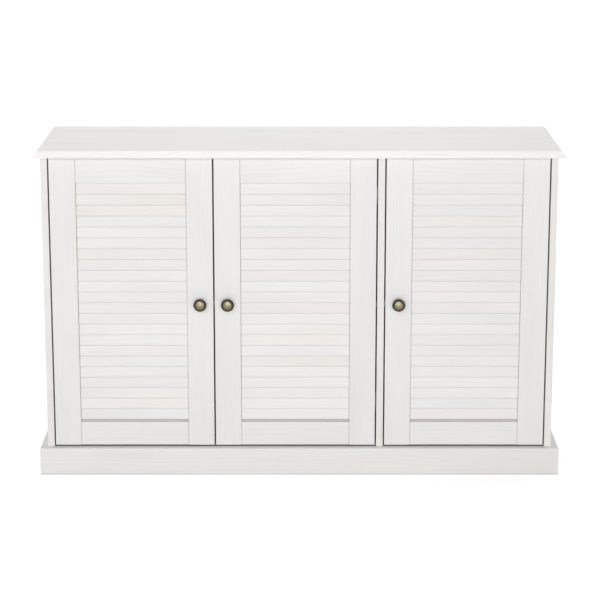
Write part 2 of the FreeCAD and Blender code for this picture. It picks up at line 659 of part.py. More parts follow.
def knob(label, across):
    """A turned knob: foot, waist, disc with a raised border, and a domed face."""
    body = new_body(label, across, "face_plane", "knob_height")
    sketch = new_sketch(body, "XY")
    radius = "knob_diameter / 2"
    front = "knob_dome - knob_projection"
    back = f"{front} + knob_rim"
    bore = "(knob_screw + screw_fit) / 2"
    add_outline(sketch, [
        (bore, "0"), (bore, "-knob_bore_depth"), ("0", "-knob_bore_depth"), ("0", "-knob_projection"),
        ("dome_reach", front, "dome_radius"), (f"{radius} - knob_bead", front),
        (radius, front, "knob_bead_round"), (radius, back),
        (f"{radius} - knob_rim / 2", f"{back} + knob_rim / 2", "knob_rim / 2"),
        ("knob_neck / 2", "-knob_waist", "knob_sweep", -1),
        ("knob_foot / 2", "-knob_base", "knob_waist", -1), ("knob_foot / 2", "0")])
    turned = body.newObject("PartDesign::Revolution", label + "_turned")
    turned.Profile = sketch
    turned.ReferenceAxis = (origin_feature(body, "Y_Axis"), [""])
    turned.Angle = 360
    doc.recompute()


def knob_screw(label, across):
    body = new_body(label, across, "face_plane + door_thickness", "knob_height")
    sketch = new_sketch(body, "XZ")
    add_circles(sketch, [("0", "0")], "knob_screw")
    pad(body, sketch, "door_thickness + knob_bore_depth - screw_end")
    sketch = new_sketch(body, "XZ")
    add_circles(sketch, [("0", "0")], "knob_screw_head")
    pad(body, sketch, "knob_head_height", True)
    rim = value("knob_head_height")
    ease(body, "Fillet", "knob_head_height / 2", lambda edge: is_ring(edge, rim))


# ---- hinges ----------------------------------------------------------------------------------

def hinge_cups(label, edge, hand):
    """Two pressed cups let into the door's back: hand is the way from the door's edge inwards."""
    body = new_body(label, edge, "face_plane + door_thickness", "door_bottom")
    middle = f"{hand} * cup_from_edge"
    centres = [(middle, row) for row in HINGE_ROWS]
    sketch = new_sketch(body, "XZ")
    add_circles(sketch, centres, "cup_diameter")
    pad(body, sketch, "cup_depth")
    sketch = new_sketch(body, "XZ")
    add_circles(sketch, centres, "cup_diameter + 2 * cup_rim")
    pad(body, sketch, "cup_flange", True)
    for row in HINGE_ROWS:
        sketch = new_sketch(body, "XZ")
        half = "ear_width / 2"
        high = f"{row} + ear_span / 2"
        low = f"{row} - ear_span / 2"
        add_outline(sketch, [(f"{middle} - {half}", high, half), (f"{middle} - {half}", low),
                             (middle, f"{low} - {half}", half), (f"{middle} + {half}", low, half),
                             (f"{middle} + {half}", high), (middle, f"{high} + {half}", half)])
        pad(body, sketch, "cup_flange", True)
    sketch = new_sketch(body, "XZ", "-cup_flange")
    add_circles(sketch, centres, "cup_diameter - 2 * cup_wall")
    pocket(body, sketch, "cup_flange + cup_depth - cup_wall", True)
    sketch = new_sketch(body, "XZ", "-cup_flange")
    add_circles(sketch, [(middle, row) for row in EAR_ROWS], "cup_screw + screw_fit")
    pocket(body, sketch, "cup_flange", True)


def cup_screws(label, edge, hand):
    body = new_body(label, edge, "face_plane + door_thickness + cup_flange", "door_bottom")
    places = [(f"{hand} * cup_from_edge", row) for row in EAR_ROWS]
    sketch = new_sketch(body, "XZ")
    add_circles(sketch, places, "cup_screw")
    pad(body, sketch, "cup_screw_length + cup_flange")
    sketch = new_sketch(body, "XZ")
    add_circles(sketch, places, "cup_screw_head")
    pad(body, sketch, "cup_head_height", True)


def hinge_links(label, edge, hand):
    """The folded link of each hinge: two plates beside the arm on a pin across the cup."""
    body = new_body(label, edge, "face_plane + door_thickness", "low_hinge")
    pin = (f"{hand} * link_pin_inset", "-link_pin_depth")
    far = f"{hand} * (nose_top - door_gap - link_end_inset)"
    half = "link_height / 2"
    inside = "arm_width / 2 + link_play"
    features = []
    for away in (inside, f"-({inside} + link_thickness)"):
        sketch = new_sketch(body, "XY", away)
        add_outline(sketch, [(pin[0], f"{pin[1]} + {half}"),
                             (f"{pin[0]} - {hand} * {half}", pin[1], half, hand),
                             (pin[0], f"{pin[1]} - {half}", half, hand), (far, f"{pin[1]} - {half}"),
                             (f"{far} + {hand} * {half}", pin[1], half, hand),
                             (far, f"{pin[1]} + {half}", half, hand)])
        features.append(pad(body, sketch, "link_thickness"))
    reach = f"{inside} + link_thickness + link_play"
    sketch = new_sketch(body, "XY", f"-({reach})")
    add_circles(sketch, [pin], "link_pin")
    features.append(pad(body, sketch, f"2 * ({reach})"))
    pattern(body, features, "Z", "hinge_span", "2")


def hinge_plates(label, face, hand):
    """Cross-shaped mounting plates on the upright: wings with two screws, and a raised spine."""
    body = new_body(label, face, "face_plane", "low_hinge")
    sketch = new_sketch(body, "YZ")
    add_rectangle(sketch, "plate_back - plate_width / 2", "-plate_height / 2",
                  "plate_back + plate_width / 2", "plate_height / 2")
    wings = pad(body, sketch, "plate_thickness", hand < 0)
    sketch = new_sketch(body, "YZ")
    add_rectangle(sketch, "spine_front", "-spine_width / 2", "spine_front + spine_length", "spine_width / 2")
    spine = pad(body, sketch, "spine_height", hand < 0)
    sketch = new_sketch(body, "YZ")
    rows = [("plate_back", f"{sign}plate_hole_span / 2") for sign in ("", "-")]
    add_circles(sketch, rows, "plate_screw + screw_fit")
    holes = pocket(body, sketch, "plate_thickness", hand > 0)
    sketch = new_sketch(body, "YZ", f"{hand} * spine_height")
    add_circles(sketch, [("plate_back + plate_width", "0")], "plate_screw + screw_fit")
    tap = pocket(body, sketch, "plate_tap_depth", hand < 0)
    pattern(body, [wings, spine, holes, tap], "Z", "hinge_span", "2")


def plate_screws(label, face, hand):
    body = new_body(label, face, "face_plane", "0")
    places = [(across, f"{up} + {number} * hinge_span") for across, up in PLATE_ROWS for number in (0, 1)]
    sketch = new_sketch(body, "YZ", f"{hand} * plate_thickness")
    add_circles(sketch, places, "plate_screw")
    pad(body, sketch, "plate_screw_length + plate_thickness", hand > 0)
    sketch = new_sketch(body, "YZ", f"{hand} * plate_thickness")
    add_circles(sketch, places, "plate_screw_head")
    pad(body, sketch, "plate_head_height", hand < 0)


def arm_outline(hand, inset, foot):
    """The side of a cranked arm: back over its plate, then across and forward into the cup.
    inset draws the hollow, one sheet in from the outer side and the nose."""
    outer = f"arm_top - {inset}"
    nose = f"nose_top - {inset}"
    front = f"nose_depth + {inset}"
    heel = "spine_front + arm_heel"
    end = "spine_front + spine_length"
    points = [(foot, end), (outer, end), (outer, f"{heel} + arm_height"), (nose, f"{heel} - arm_nose"),
              (nose, front), (f"{nose} - arm_nose + 2 * {inset}", front),
              (f"{nose} - arm_nose + 2 * {inset}", f"{heel} - arm_nose - arm_heel"), (foot, heel)]
    return [(f"{hand} * ({across})", up) for across, up in points]


def hinge_arms(label, face, hand):
    """Cranked arms of folded sheet: a web on the open side, two cheeks, hollow towards the plate."""
    body = new_body(label, face, "face_plane", "low_hinge")
    sketch = new_sketch(body, "XY", "-arm_width / 2")
    add_outline(sketch, arm_outline(hand, "0", "spine_height"))
    solid = pad(body, sketch, "arm_width")
    sketch = new_sketch(body, "XY", "arm_width / 2 - arm_wall")
    add_outline(sketch, arm_outline(hand, "arm_wall", "spine_height"))
    hollow = pocket(body, sketch, "arm_width - 2 * arm_wall")
    sketch = new_sketch(body, "YZ", f"{hand} * arm_top")
    add_circles(sketch, [("plate_back + plate_width", "0")], "plate_screw + screw_fit")
    hole = pocket(body, sketch, "arm_wall", hand < 0)
    pattern(body, [solid, hollow, hole], "Z", "hinge_span", "2")


def arm_screws():
    """One screw through each arm's web into its plate."""
    body = new_body("hinge_arm_screws", "0", "face_plane", "low_hinge")
    places = [("plate_back + plate_width", f"{number} * hinge_span") for number in (0, 1)]
    for face, hand in HINGE_FACES.values():
        sketch = new_sketch(body, "YZ", f"{face} + {hand} * arm_top")
        add_circles(sketch, places, "plate_screw")
        pad(body, sketch, "arm_height + plate_tap_depth - screw_end", hand > 0)
        sketch = new_sketch(body, "YZ", f"{face} + {hand} * arm_top")
        add_circles(sketch, places, "plate_screw_head")
        pad(body, sketch, "plate_head_height", hand < 0)


def door(name):
    """A louvred door with its knob and hinges, all named after it."""
    left = f"{name}_left"
    face, hand = HINGE_FACES[name]
    stile(f"{name}_hinge_stile", left, -hand, True)
    stile(f"{name}_knob_stile", left, hand, False)
    door_rail(f"{name}_top_rail", left, True)
    door_rail(f"{name}_bottom_rail", left, False)
    door_slats(f"{name}_slats", left)
    across = f"{left} + door_width - stile_width / 2" if hand > 0 else f"{left} + stile_width / 2"
    knob(f"{name}_knob", across)
    knob_screw(f"{name}_knob_screw", across)
    edge = left if hand > 0 else f"{left} + door_width"
    hinge_cups(f"{name}_hinge_cups", edge, hand)
    cup_screws(f"{name}_cup_screws", edge, hand)
    hinge_links(f"{name}_hinge_links", edge, hand)
    hinge_plates(f"{name}_hinge_plates", face, hand)
    plate_screws(f"{name}_plate_screws", face, hand)
    hinge_arms(f"{name}_hinge_arms", face, hand)


def check_and_write():
    """Stop on any failed object or bad shape, then write one file for each sub-part."""
    doc.recompute()
    for thing in doc.Objects:
        if "Invalid" in thing.State or "Error" in thing.State:
            raise RuntimeError(f"{thing.Label}: {thing.State}")
    parts = [thing for thing in doc.Objects if thing.TypeId == "PartDesign::Body"]
    for part in parts:
        if part.Shape.isNull() or not part.Shape.isValid() or not part.Shape.Solids:
            raise RuntimeError(f"{part.Label}: bad shape")
    os.makedirs("parts", exist_ok=True)
    for part in parts:
        part.Shape.exportStep(os.path.join("parts", part.Label + ".step"))
    print(len(parts), "sub-parts written")


side_panel("left_side_panel", -1)
side_panel("right_side_panel", 1)
partition()
bottom_board()
top_board()
top_dowels()
plinth_front()
plinth_side("plinth_left", -1)
plinth_side("plinth_right", 1)
plinth_back()
floor_support()
back_panel()
back_screws()
shelf("left_shelf", "-inner_side", "partition_left")
shelf("right_shelf", "partition_right", "inner_side")
shelf_pegs()
for door_name in HINGE_FACES:
    door(door_name)
arm_screws()
check_and_write()
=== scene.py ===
import math

import bpy
import numpy as np
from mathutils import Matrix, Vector


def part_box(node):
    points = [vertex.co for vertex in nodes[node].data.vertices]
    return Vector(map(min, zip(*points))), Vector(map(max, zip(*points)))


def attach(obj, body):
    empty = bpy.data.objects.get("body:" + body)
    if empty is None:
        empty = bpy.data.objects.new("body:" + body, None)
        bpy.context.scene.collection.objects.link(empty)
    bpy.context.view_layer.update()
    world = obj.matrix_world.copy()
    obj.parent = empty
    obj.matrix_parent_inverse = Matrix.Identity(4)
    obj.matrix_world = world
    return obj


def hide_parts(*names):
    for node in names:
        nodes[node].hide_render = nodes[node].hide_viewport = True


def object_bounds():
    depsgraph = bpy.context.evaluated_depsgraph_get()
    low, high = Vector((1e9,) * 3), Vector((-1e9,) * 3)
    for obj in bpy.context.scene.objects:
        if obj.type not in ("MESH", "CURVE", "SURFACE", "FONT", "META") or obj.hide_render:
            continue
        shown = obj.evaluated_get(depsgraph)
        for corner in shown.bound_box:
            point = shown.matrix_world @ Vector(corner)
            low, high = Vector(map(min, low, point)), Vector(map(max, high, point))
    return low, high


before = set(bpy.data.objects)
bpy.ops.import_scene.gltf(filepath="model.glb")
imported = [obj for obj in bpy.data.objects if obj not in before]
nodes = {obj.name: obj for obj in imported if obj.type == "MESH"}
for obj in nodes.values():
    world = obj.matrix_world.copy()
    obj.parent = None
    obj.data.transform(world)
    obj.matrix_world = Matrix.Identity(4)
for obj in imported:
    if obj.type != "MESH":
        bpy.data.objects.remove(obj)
cadLow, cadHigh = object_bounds()
doors = ("left_door", "middle_door", "right_door")
mm = 0.001


# Small helpers for node trees. A value in them is a number or another node's socket.
def addNode(tree, kind, inputs=None, **settings):
    # a node with its settings, and each input linked to a socket or set to a number
    made = tree.nodes.new(kind)
    for key, value in settings.items():
        setattr(made, key, value)
    for key, value in (inputs or {}).items():
        if isinstance(value, bpy.types.NodeSocket):
            tree.links.new(value, made.inputs[key])
        else:
            made.inputs[key].default_value = value
    return made


def calc(tree, operation, *values, clamp=False):
    # one operation on up to three values, cut to 0 to 1 where clamp is set
    inputs = dict(enumerate(values))
    return addNode(tree, "ShaderNodeMath", inputs, operation=operation, use_clamp=clamp).outputs[0]


def mixColour(tree, share, first, second):
    # the first colour, with this share of it replaced by the second
    return addNode(tree, "ShaderNodeMix", {0: share, 6: first, 7: second}, data_type="RGBA").outputs[2]


def riseOf(tree, value, low, high):
    # 0 up to low and 1 from high, with a smooth step between them
    inputs = {"Value": value, "From Min": low, "From Max": high}
    return addNode(tree, "ShaderNodeMapRange", inputs, interpolation_type="SMOOTHSTEP").outputs[0]


def fallOf(tree, value, low, high):
    # 1 up to low and 0 from high: one less the rise
    return calc(tree, "SUBTRACT", 1.0, riseOf(tree, value, low, high))


def noiseOf(tree, place, detail=2.0, roughness=0.5, distortion=0.0, scale=1.0):
    # noise of about 0 to 1, at a place that is already stretched or scaled here
    inputs = {"Vector": place, "Scale": scale, "Detail": detail, "Roughness": roughness,
              "Distortion": distortion}
    return addNode(tree, "ShaderNodeTexNoise", inputs).outputs[0]


def newMaterial(name, roughness, metallic=0.0):
    # a plain material, with its node tree and its shader
    material = bpy.data.materials.new(name)
    material.use_nodes = True
    shader = material.node_tree.nodes["Principled BSDF"]
    shader.inputs["Roughness"].default_value = roughness
    shader.inputs["Metallic"].default_value = metallic
    return material, material.node_tree, shader


def opaque(colour):
    # red, green and blue with a full alpha, as colour sockets take them
    return (*colour, 1.0)


def bumpInto(tree, shader, height, strength, distance):
    # relief: height 1 stands this distance above height 0, as strongly as strength says
    made = addNode(tree, "ShaderNodeBump", {"Height": height, "Strength": strength, "Distance": distance})
    tree.links.new(made.outputs[0], shader.inputs["Normal"])


# The white glaze: each share is how strongly that feature shows through it.
glaze = {
    "base": (0.850, 0.842, 0.826),
    "pale": (0.905, 0.900, 0.890),
    "warm": (0.815, 0.755, 0.690),
    "cool": (0.760, 0.765, 0.778),
    "rose": (0.835, 0.770, 0.745),
    "line": (0.600, 0.555, 0.490),
    "tintShare": 0.29,
    "paleShare": 0.22,
    "darkShare": 0.11,
    "lineShare": 0.15,
    "fibreShare": 0.07,
    "knotShare": 0.30,
    "staveShare": 0.16,
    "slatShare": 0.36,
    "roughness": 0.46,
    "specular": 0.42,
    "bump": 0.22,
    "bumpDepth": 0.00016,
}
# painted brightening: the plinth's glaze is paler than the rest to make up for the lamps' falloff near the
# floor
plinthPaintedBright = dict(glaze, base=(0.867, 0.857, 0.839))
rawPine = dict(glaze, base=(0.725, 0.580, 0.400), pale=(0.800, 0.680, 0.500), warm=(0.640, 0.460, 0.280),
               cool=(0.660, 0.550, 0.410), rose=(0.690, 0.510, 0.350), line=(0.450, 0.290, 0.150),
               lineShare=0.42, knotShare=0.6, roughness=0.62, bump=0.35)
washedPly = dict(glaze, base=(0.700, 0.640, 0.550), pale=(0.760, 0.710, 0.630), warm=(0.610, 0.520, 0.400),
                 cool=(0.600, 0.570, 0.520), rose=(0.620, 0.540, 0.450), line=(0.460, 0.370, 0.270),
                 roughness=0.6, knotShare=0.2)
beech = dict(rawPine, base=(0.640, 0.480, 0.320), lineShare=0.12, knotShare=0.0)

grainAxes = {"x": (0, 2, 1), "y": (1, 2, 0), "z": (2, 0, 1)}  # along the grain, across it, into the board
grainScale = {  # features per metre: along the grain, then across it
    "tint": (2.4, 8.0),
    "streak": (1.9, 48.0),
    "warp": (1.6, 9.0),
    "fibre": (16.0, 760.0),
    "knot": (1.35, 6.5),
}
grainRange = {  # where each feature begins and where it is full, in the values of its own noise
    "tint": (0.42, 0.68),
    "warm": (0.4, 0.6),
    "cool": (0.46, 0.66),
    "pale": (0.5, 0.75),
    "dark": (0.25, 0.5),  # this one the other way: full below, gone above
    "lined": (0.32, 0.72),
    "fibre": (0.55, 0.8),
    "patch": (0.36, 0.60),
}
# A knot's core and halo are whole up to the first distance from its centre and gone at the second, in
# cells of the pattern of knots.
knotReach = {"core": (0.035, 0.075), "halo": (0.05, 0.42)}
ringWidth = 0.0125  # one growth ring, across the board
ringRise = (0.35, 0.92)  # a ring darkens between these shares of its width
ringFall = (0.93, 1.0)  # and is pale again between these
ringWander = 0.09  # how far the rings wander over a board
knotBend = 0.0225  # how far they bend round a knot
relief = {"rings": -0.6, "fibre": 0.8, "streak": 0.5}  # heights of the bump
toneApart = 11.0  # how far into the noise the second tint lies from the first
boardStep = {"along": 3.1, "across": 1.7, "tint": 9.7}  # from one board's stretch of grain to the next
pieceStep = {"along": 5.37, "across": 0.731}  # from one stave's or slat's stretch to the next
pieceTint = {"warm": (0.3, 0.7), "rose": (0.45, 0.8), "least": 0.35, "patches": 0.65}  # patches add to least
staveWidth = 0.094  # glued boards: one stave
slatPitch = 30 * mm
slatTilt = math.radians(17)
slatSlack = 1.3 * mm  # half the play between two slats, across their slope
# Of these edge lines the joint is a dark joint; the others are painted shade, except the pale one on the top
# board, which is a painted highlight.
edgeLines = {  # another tone along an edge of a board: whole up to "solid", gone at "faded"
    "joint": {"tone": (0.30, 0.275, 0.24), "share": 0.50, "solid": 0.6 * mm, "faded": 2.2 * mm},
    # painted shade on the bottom board's front strip, in the gap under the doors
    "paintedSillShade": {"tone": (0.20, 0.185, 0.165), "share": 0.74, "solid": 5 * mm, "faded": 13 * mm},
    # painted contact shadow along the plinth's foot, where it stands on the floor
    "floor": {"tone": (0.34, 0.33, 0.31), "share": 0.42, "solid": 1.4 * mm, "faded": 3.6 * mm},
    # painted shade at the slat ends, in the stiles' slots
    "paintedSlotShade": {"tone": (0.26, 0.24, 0.21), "share": 0.76, "solid": 0.6 * mm, "faded": 2.2 * mm},
    # painted shade on the bottom rail's tongue, in the recess behind the last slat
    "paintedTongueShade": {"tone": (0.26, 0.24, 0.21), "share": 0.55, "solid": 8 * mm, "faded": 10.5 * mm},
    # painted highlight: the top board's front and ends paler
    "paintedMouldingHighlight": {"tone": (0.945, 0.940, 0.928), "share": 0.60, "solid": 11 * mm, "faded": 13 * mm},
}


def grainOf(tree, along, across, depth):
    # Each feature is a noise stretched along the grain. Ring lines are the fraction of the place across
    # the board over a ring's width, after the warp and the knots have moved that place.
    def stretched(key, extra=0.0):
        low, high = grainScale[key]
        place = {0: calc(tree, "MULTIPLY", along, low), 1: calc(tree, "MULTIPLY", across, high),
                 2: calc(tree, "MULTIPLY_ADD", depth, high, extra)}
        return addNode(tree, "ShaderNodeCombineXYZ", place).outputs[0]

    grain = {
        "tint": noiseOf(tree, stretched("tint"), detail=1.5),
        "tone": noiseOf(tree, stretched("tint", toneApart), detail=1.5),
        "streak": noiseOf(tree, stretched("streak"), detail=4.0, roughness=0.6),
        "fibre": noiseOf(tree, stretched("fibre"), roughness=0.6),
    }
    knots = {"Vector": stretched("knot"), "Scale": 1.0, "Randomness": 1.0}
    knot = addNode(tree, "ShaderNodeTexVoronoi", knots).outputs["Distance"]
    grain["knot"] = fallOf(tree, knot, *knotReach["core"])
    halo = fallOf(tree, knot, *knotReach["halo"])
    bent = calc(tree, "MULTIPLY_ADD", noiseOf(tree, stretched("warp")), ringWander, across)
    bent = calc(tree, "MULTIPLY_ADD", halo, knotBend, bent)
    phase = calc(tree, "FRACT", calc(tree, "DIVIDE", bent, ringWidth))
    rings = calc(tree, "MULTIPLY", riseOf(tree, phase, *ringRise), fallOf(tree, phase, *ringFall))
    grain["rings"] = calc(tree, "MULTIPLY", rings, riseOf(tree, grain["streak"], *grainRange["lined"]))
    return grain


def boardColour(tree, look, grain):
    # the base, with a share of each feature's colour laid over it in turn
    base, rose, warm, cool, pale, line = (opaque(look[key]) for key in
                                          ("base", "rose", "warm", "cool", "pale", "line"))
    warmth = mixColour(tree, riseOf(tree, grain["tone"], *grainRange["warm"]), rose, warm)
    tinted = mixColour(tree, riseOf(tree, grain["tint"], *grainRange["tint"]), base, warmth)
    colour = mixColour(tree, look["tintShare"], base, tinted)
    layers = (
        (riseOf(tree, grain["tone"], *grainRange["cool"]), look["tintShare"], cool),
        (riseOf(tree, grain["streak"], *grainRange["pale"]), look["paleShare"], pale),
        (fallOf(tree, grain["streak"], *grainRange["dark"]), look["darkShare"], line),
        (grain["rings"], look["lineShare"], line),
        (riseOf(tree, grain["fibre"], *grainRange["fibre"]), look["fibreShare"], line),
        (grain["knot"], look["knotShare"], line),
    )
    for feature, share, tone in layers:
        colour = mixColour(tree, calc(tree, "MULTIPLY", feature, share), colour, tone)
    return colour


def pieceColour(tree, look, grain, piece, seed, strength, colour):
    # each stave or slat has a tint of its own, drawn by its number, stronger in patches
    number = calc(tree, "ADD", piece, seed * boardStep["tint"])
    drawn = addNode(tree, "ShaderNodeTexWhiteNoise", {"W": number}, noise_dimensions="1D").outputs
    chosen = addNode(tree, "ShaderNodeSeparateColor", {0: drawn["Color"]}).outputs
    tint = mixColour(tree, riseOf(tree, chosen[0], *pieceTint["warm"]), opaque(look["cool"]),
                     opaque(look["warm"]))
    tint = mixColour(tree, riseOf(tree, chosen[1], *pieceTint["rose"]), tint, opaque(look["rose"]))
    patch = calc(tree, "MULTIPLY_ADD", riseOf(tree, grain["tint"], *grainRange["patch"]),
                 pieceTint["patches"], pieceTint["least"])
    share = calc(tree, "MULTIPLY", calc(tree, "MULTIPLY", chosen[2], strength), patch)
    return mixColour(tree, share, colour, tint)


def slatNumber(tree, place, front, top):
    # Slats are counted along their normal: the distance from slatSlack before a point on the stack's
    # front, one pitch below the top rail, over the distance between two slats.
    normal = (0, math.cos(slatTilt), -math.sin(slatTilt))
    start = normal[1] * front + normal[2] * top - slatSlack
    through = addNode(tree, "ShaderNodeVectorMath", {0: place, 1: normal}, operation="DOT_PRODUCT")
    distance = calc(tree, "SUBTRACT", through.outputs["Value"], start)
    return calc(tree, "FLOOR", calc(tree, "DIVIDE", distance, slatPitch * math.sin(slatTilt)))


def woodFinish(name, grainAxis, seed, look, staves=False, slats=None, edges=()):
    # Grain in the board's own directions, from a stretch that its seed chooses. Staves lie side by side
    # from front to back, and each stave or slat starts a new stretch.
    material, tree, shader = newMaterial(name, look["roughness"])
    place = addNode(tree, "ShaderNodeTexCoord").outputs["Object"]
    axes = addNode(tree, "ShaderNodeSeparateXYZ", {0: place}).outputs
    along, across, depth = (axes[number] for number in grainAxes[grainAxis])
    piece = 0.0
    if staves:
        across, depth = depth, across
        piece = calc(tree, "FLOOR", calc(tree, "DIVIDE", across, staveWidth))
    if slats:
        piece = slatNumber(tree, place, *slats)
    along = calc(tree, "MULTIPLY_ADD", piece, pieceStep["along"],
                 calc(tree, "ADD", along, seed * boardStep["along"]))
    across = calc(tree, "MULTIPLY_ADD", piece, pieceStep["across"],
                  calc(tree, "ADD", across, seed * boardStep["across"]))
    grain = grainOf(tree, along, across, depth)
    colour = boardColour(tree, look, grain)
    if staves or slats:
        strength = look["staveShare"] if staves else look["slatShare"]
        colour = pieceColour(tree, look, grain, piece, seed, strength, colour)
    for axis, start, inward, kind in edges:
        # the line fades with the distance from the edge; by its kind it is a dark joint, painted shade or a
        # painted highlight
        line = edgeLines[kind]
        inside = calc(tree, "MULTIPLY", calc(tree, "SUBTRACT", axes[axis], start), inward)
        near = fallOf(tree, inside, line["solid"], line["faded"])
        colour = mixColour(tree, calc(tree, "MULTIPLY", near, line["share"]), colour, opaque(line["tone"]))
    tree.links.new(colour, shader.inputs["Base Color"])
    height = calc(tree, "MULTIPLY", grain["fibre"], relief["fibre"])
    for key in ("rings", "streak"):
        height = calc(tree, "MULTIPLY_ADD", grain[key], relief[key], height)
    bumpInto(tree, shader, height, look["bump"], look["bumpDepth"])
    shader.inputs["Specular IOR Level"].default_value = look["specular"]
    return material


# Plated steel: the hinges are nickel, all screws and the pegs are zinc.
platings = {
    "nickelPlate": {"clean": (0.60, 0.60, 0.585), "worn": (0.50, 0.495, 0.475), "roughness": 0.30},
    "zincPlate": {"clean": (0.52, 0.53, 0.53), "worn": (0.40, 0.40, 0.385), "roughness": 0.38},
}
steelFine = {"cloud": 90.0, "grit": 1500.0, "wear": (0.35, 0.7), "spread": 0.10, "bump": 0.1,
             "bumpDepth": 0.00005}


def metalFinish(name):
    # clean to worn with one cloudy noise, which also spreads the roughness, and fine grit as relief
    plating = platings[name]
    material, tree, shader = newMaterial(name, plating["roughness"], 1.0)
    place = addNode(tree, "ShaderNodeTexCoord").outputs["Object"]
    cloud = noiseOf(tree, place, detail=3.0, roughness=0.6, scale=steelFine["cloud"])
    grit = noiseOf(tree, place, roughness=0.7, distortion=0.6, scale=steelFine["grit"])
    worn = riseOf(tree, cloud, *steelFine["wear"])
    tone = mixColour(tree, worn, opaque(plating["clean"]), opaque(plating["worn"]))
    tree.links.new(tone, shader.inputs["Base Color"])
    rough = calc(tree, "MULTIPLY_ADD", cloud, steelFine["spread"],
                 plating["roughness"] - steelFine["spread"] / 2)
    tree.links.new(rough, shader.inputs["Roughness"])
    bumpInto(tree, shader, grit, steelFine["bump"], steelFine["bumpDepth"])
    return material


def paint(node, material):
    # a node of the frame keeps its mesh and takes this material alone
    mesh = nodes[node].data
    mesh.materials.clear()
    mesh.materials.append(material)


hingeParts = ("cups", "links", "plates", "arms")
steelParts = hingeParts + ("screw", "screws", "pegs")
uprightGrain = ("side_panel", "partition", "stile", "back_panel", "top_dowels")
depthGrain = ("plinth_left", "plinth_right", "floor_support")
wideBoards = ("left_side_panel", "right_side_panel", "partition", "top_board", "bottom_board",
              "left_shelf", "right_shelf")
looks = {"plinth_back": rawPine, "floor_support": rawPine, "back_panel": washedPly, "top_dowels": beech,
         "plinth_front": plinthPaintedBright, "plinth_left": plinthPaintedBright, "plinth_right": plinthPaintedBright}
nickel = metalFinish("nickelPlate")
zinc = metalFinish("zincPlate")


def grainAxisOf(node):
    # upright, from front to back, or else from side to side
    if any(part in node for part in uprightGrain):
        return "z"
    return "y" if node in depthGrain else "x"


def edgesOf(node):
    # each edge: the axis that crosses it, its place on that axis, the way inwards and its kind of line
    low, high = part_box(node)
    if node.endswith(("slats", "rail")):
        door = next(name for name in doors if node.startswith(name))
        stiles = sorted((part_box(door + end) for end in ("_hinge_stile", "_knob_stile")),
                        key=lambda box: box[0].x)
        # slat ends take painted shade where they sit in the stiles' slots; rail ends take a dark joint
        kind = "paintedSlotShade" if node.endswith("slats") else "joint"
        edges = ((0, stiles[0][1].x, 1, kind), (0, stiles[1][0].x, -1, kind))
        if node.endswith("bottom_rail"):
            # painted shade on the tongue, in the recess behind the last slat
            edges += ((2, high.z, -1, "paintedTongueShade"),)
        return edges
    if node == "top_board":
        # painted highlight along the top board's front and ends
        return ((1, low.y, 1, "paintedMouldingHighlight"), (0, low.x, 1, "paintedMouldingHighlight"), (0, high.x, -1, "paintedMouldingHighlight"))
    if node == "bottom_board":
        # painted shade on the front strip, in the gap under the doors
        return ((1, low.y, 1, "paintedSillShade"),)
    if node.startswith("plinth"):
        # painted contact shadow along the plinth's foot
        return ((2, low.z, 1, "floor"),)
    return ()


def finishNodes():
    # plate for the steel, and for each board its own wood, whose seed is its number in the order of names
    number = 0
    for node in sorted(nodes):
        if node.endswith(steelParts):
            paint(node, nickel if node.endswith(hingeParts) else zinc)
        elif not node.endswith("_knob"):
            number += 1
            slats = None
            if node.endswith("slats"):
                rail = node.replace("_slats", "_top_rail")
                slats = (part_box(node)[0].y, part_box(rail)[0].z - slatPitch)
            paint(node, woodFinish(f"wood_{node}", grainAxisOf(node), number, looks.get(node, glaze),
                                   node in wideBoards, slats, edgesOf(node)))
    print("boards finished:", number)


finishNodes()


# Surfaces of revolution and the like: each copy is a stack of rings whose points become quads, with
# the first and the last ring closed.
def ringMesh(name, copies, uv=None):
    number, count, around = copies.shape[:3]
    points = copies.reshape(-1, 3)
    copy, row, step = np.meshgrid(np.arange(number), np.arange(count - 1), np.arange(around), indexing="ij")
    first = (copy * count + row) * around
    after = (step + 1) % around
    quads = np.stack([first + step, first + after, first + around + after, first + around + step], -1)
    faces = quads.reshape(-1, 4).tolist()
    ring = np.arange(around)
    for start in range(0, number * count * around, count * around):
        faces.append((start + ring[::-1]).tolist())
        faces.append((start + (count - 1) * around + ring).tolist())
    mesh = bpy.data.meshes.new(name)
    mesh.from_pydata(points.tolist(), [], faces)
    if uv is not None:
        layer = mesh.uv_layers.new(name="turned")
        corners = np.zeros(len(mesh.loops), dtype=np.int32)
        mesh.loops.foreach_get("vertex_index", corners)
        layer.data.foreach_set("uv", uv.reshape(-1, 2)[corners].astype(np.float32).ravel())
    mesh.polygons.foreach_set("use_smooth", np.ones(len(mesh.polygons), dtype=bool))
    mesh.update()
    return mesh


def addPiece(name, mesh, material, body, replaced):
    # a new piece that rides on its body and stands for one node of the frame
    piece = bpy.data.objects.new(name, mesh)
    bpy.context.scene.collection.objects.link(piece)
    mesh.materials.append(material)
    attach(piece, body)
    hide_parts(replaced)


# Turned knob, in millimetres from the door face outwards.
knobShape = {
    "footRadius": 8.5, "footBevel": 0.4, "footEdge": 2.0, "waistRadius": 6.0, "waistAt": 7.6,
    "flareRadius": 16.82, "rimRadius": 17.5, "rimBack": 17.4, "rimFront": 21.6, "beadHeight": 0.5,
    "grooveRadius": 15.3, "grooveDeep": 0.7, "domeRadius": 14.7, "domeTop": 26.0, "endRadius": 0.01,
    "around": 96, "curveSteps": 13, "rimSteps": 15, "beadSteps": 9, "domeSteps": 22,
}


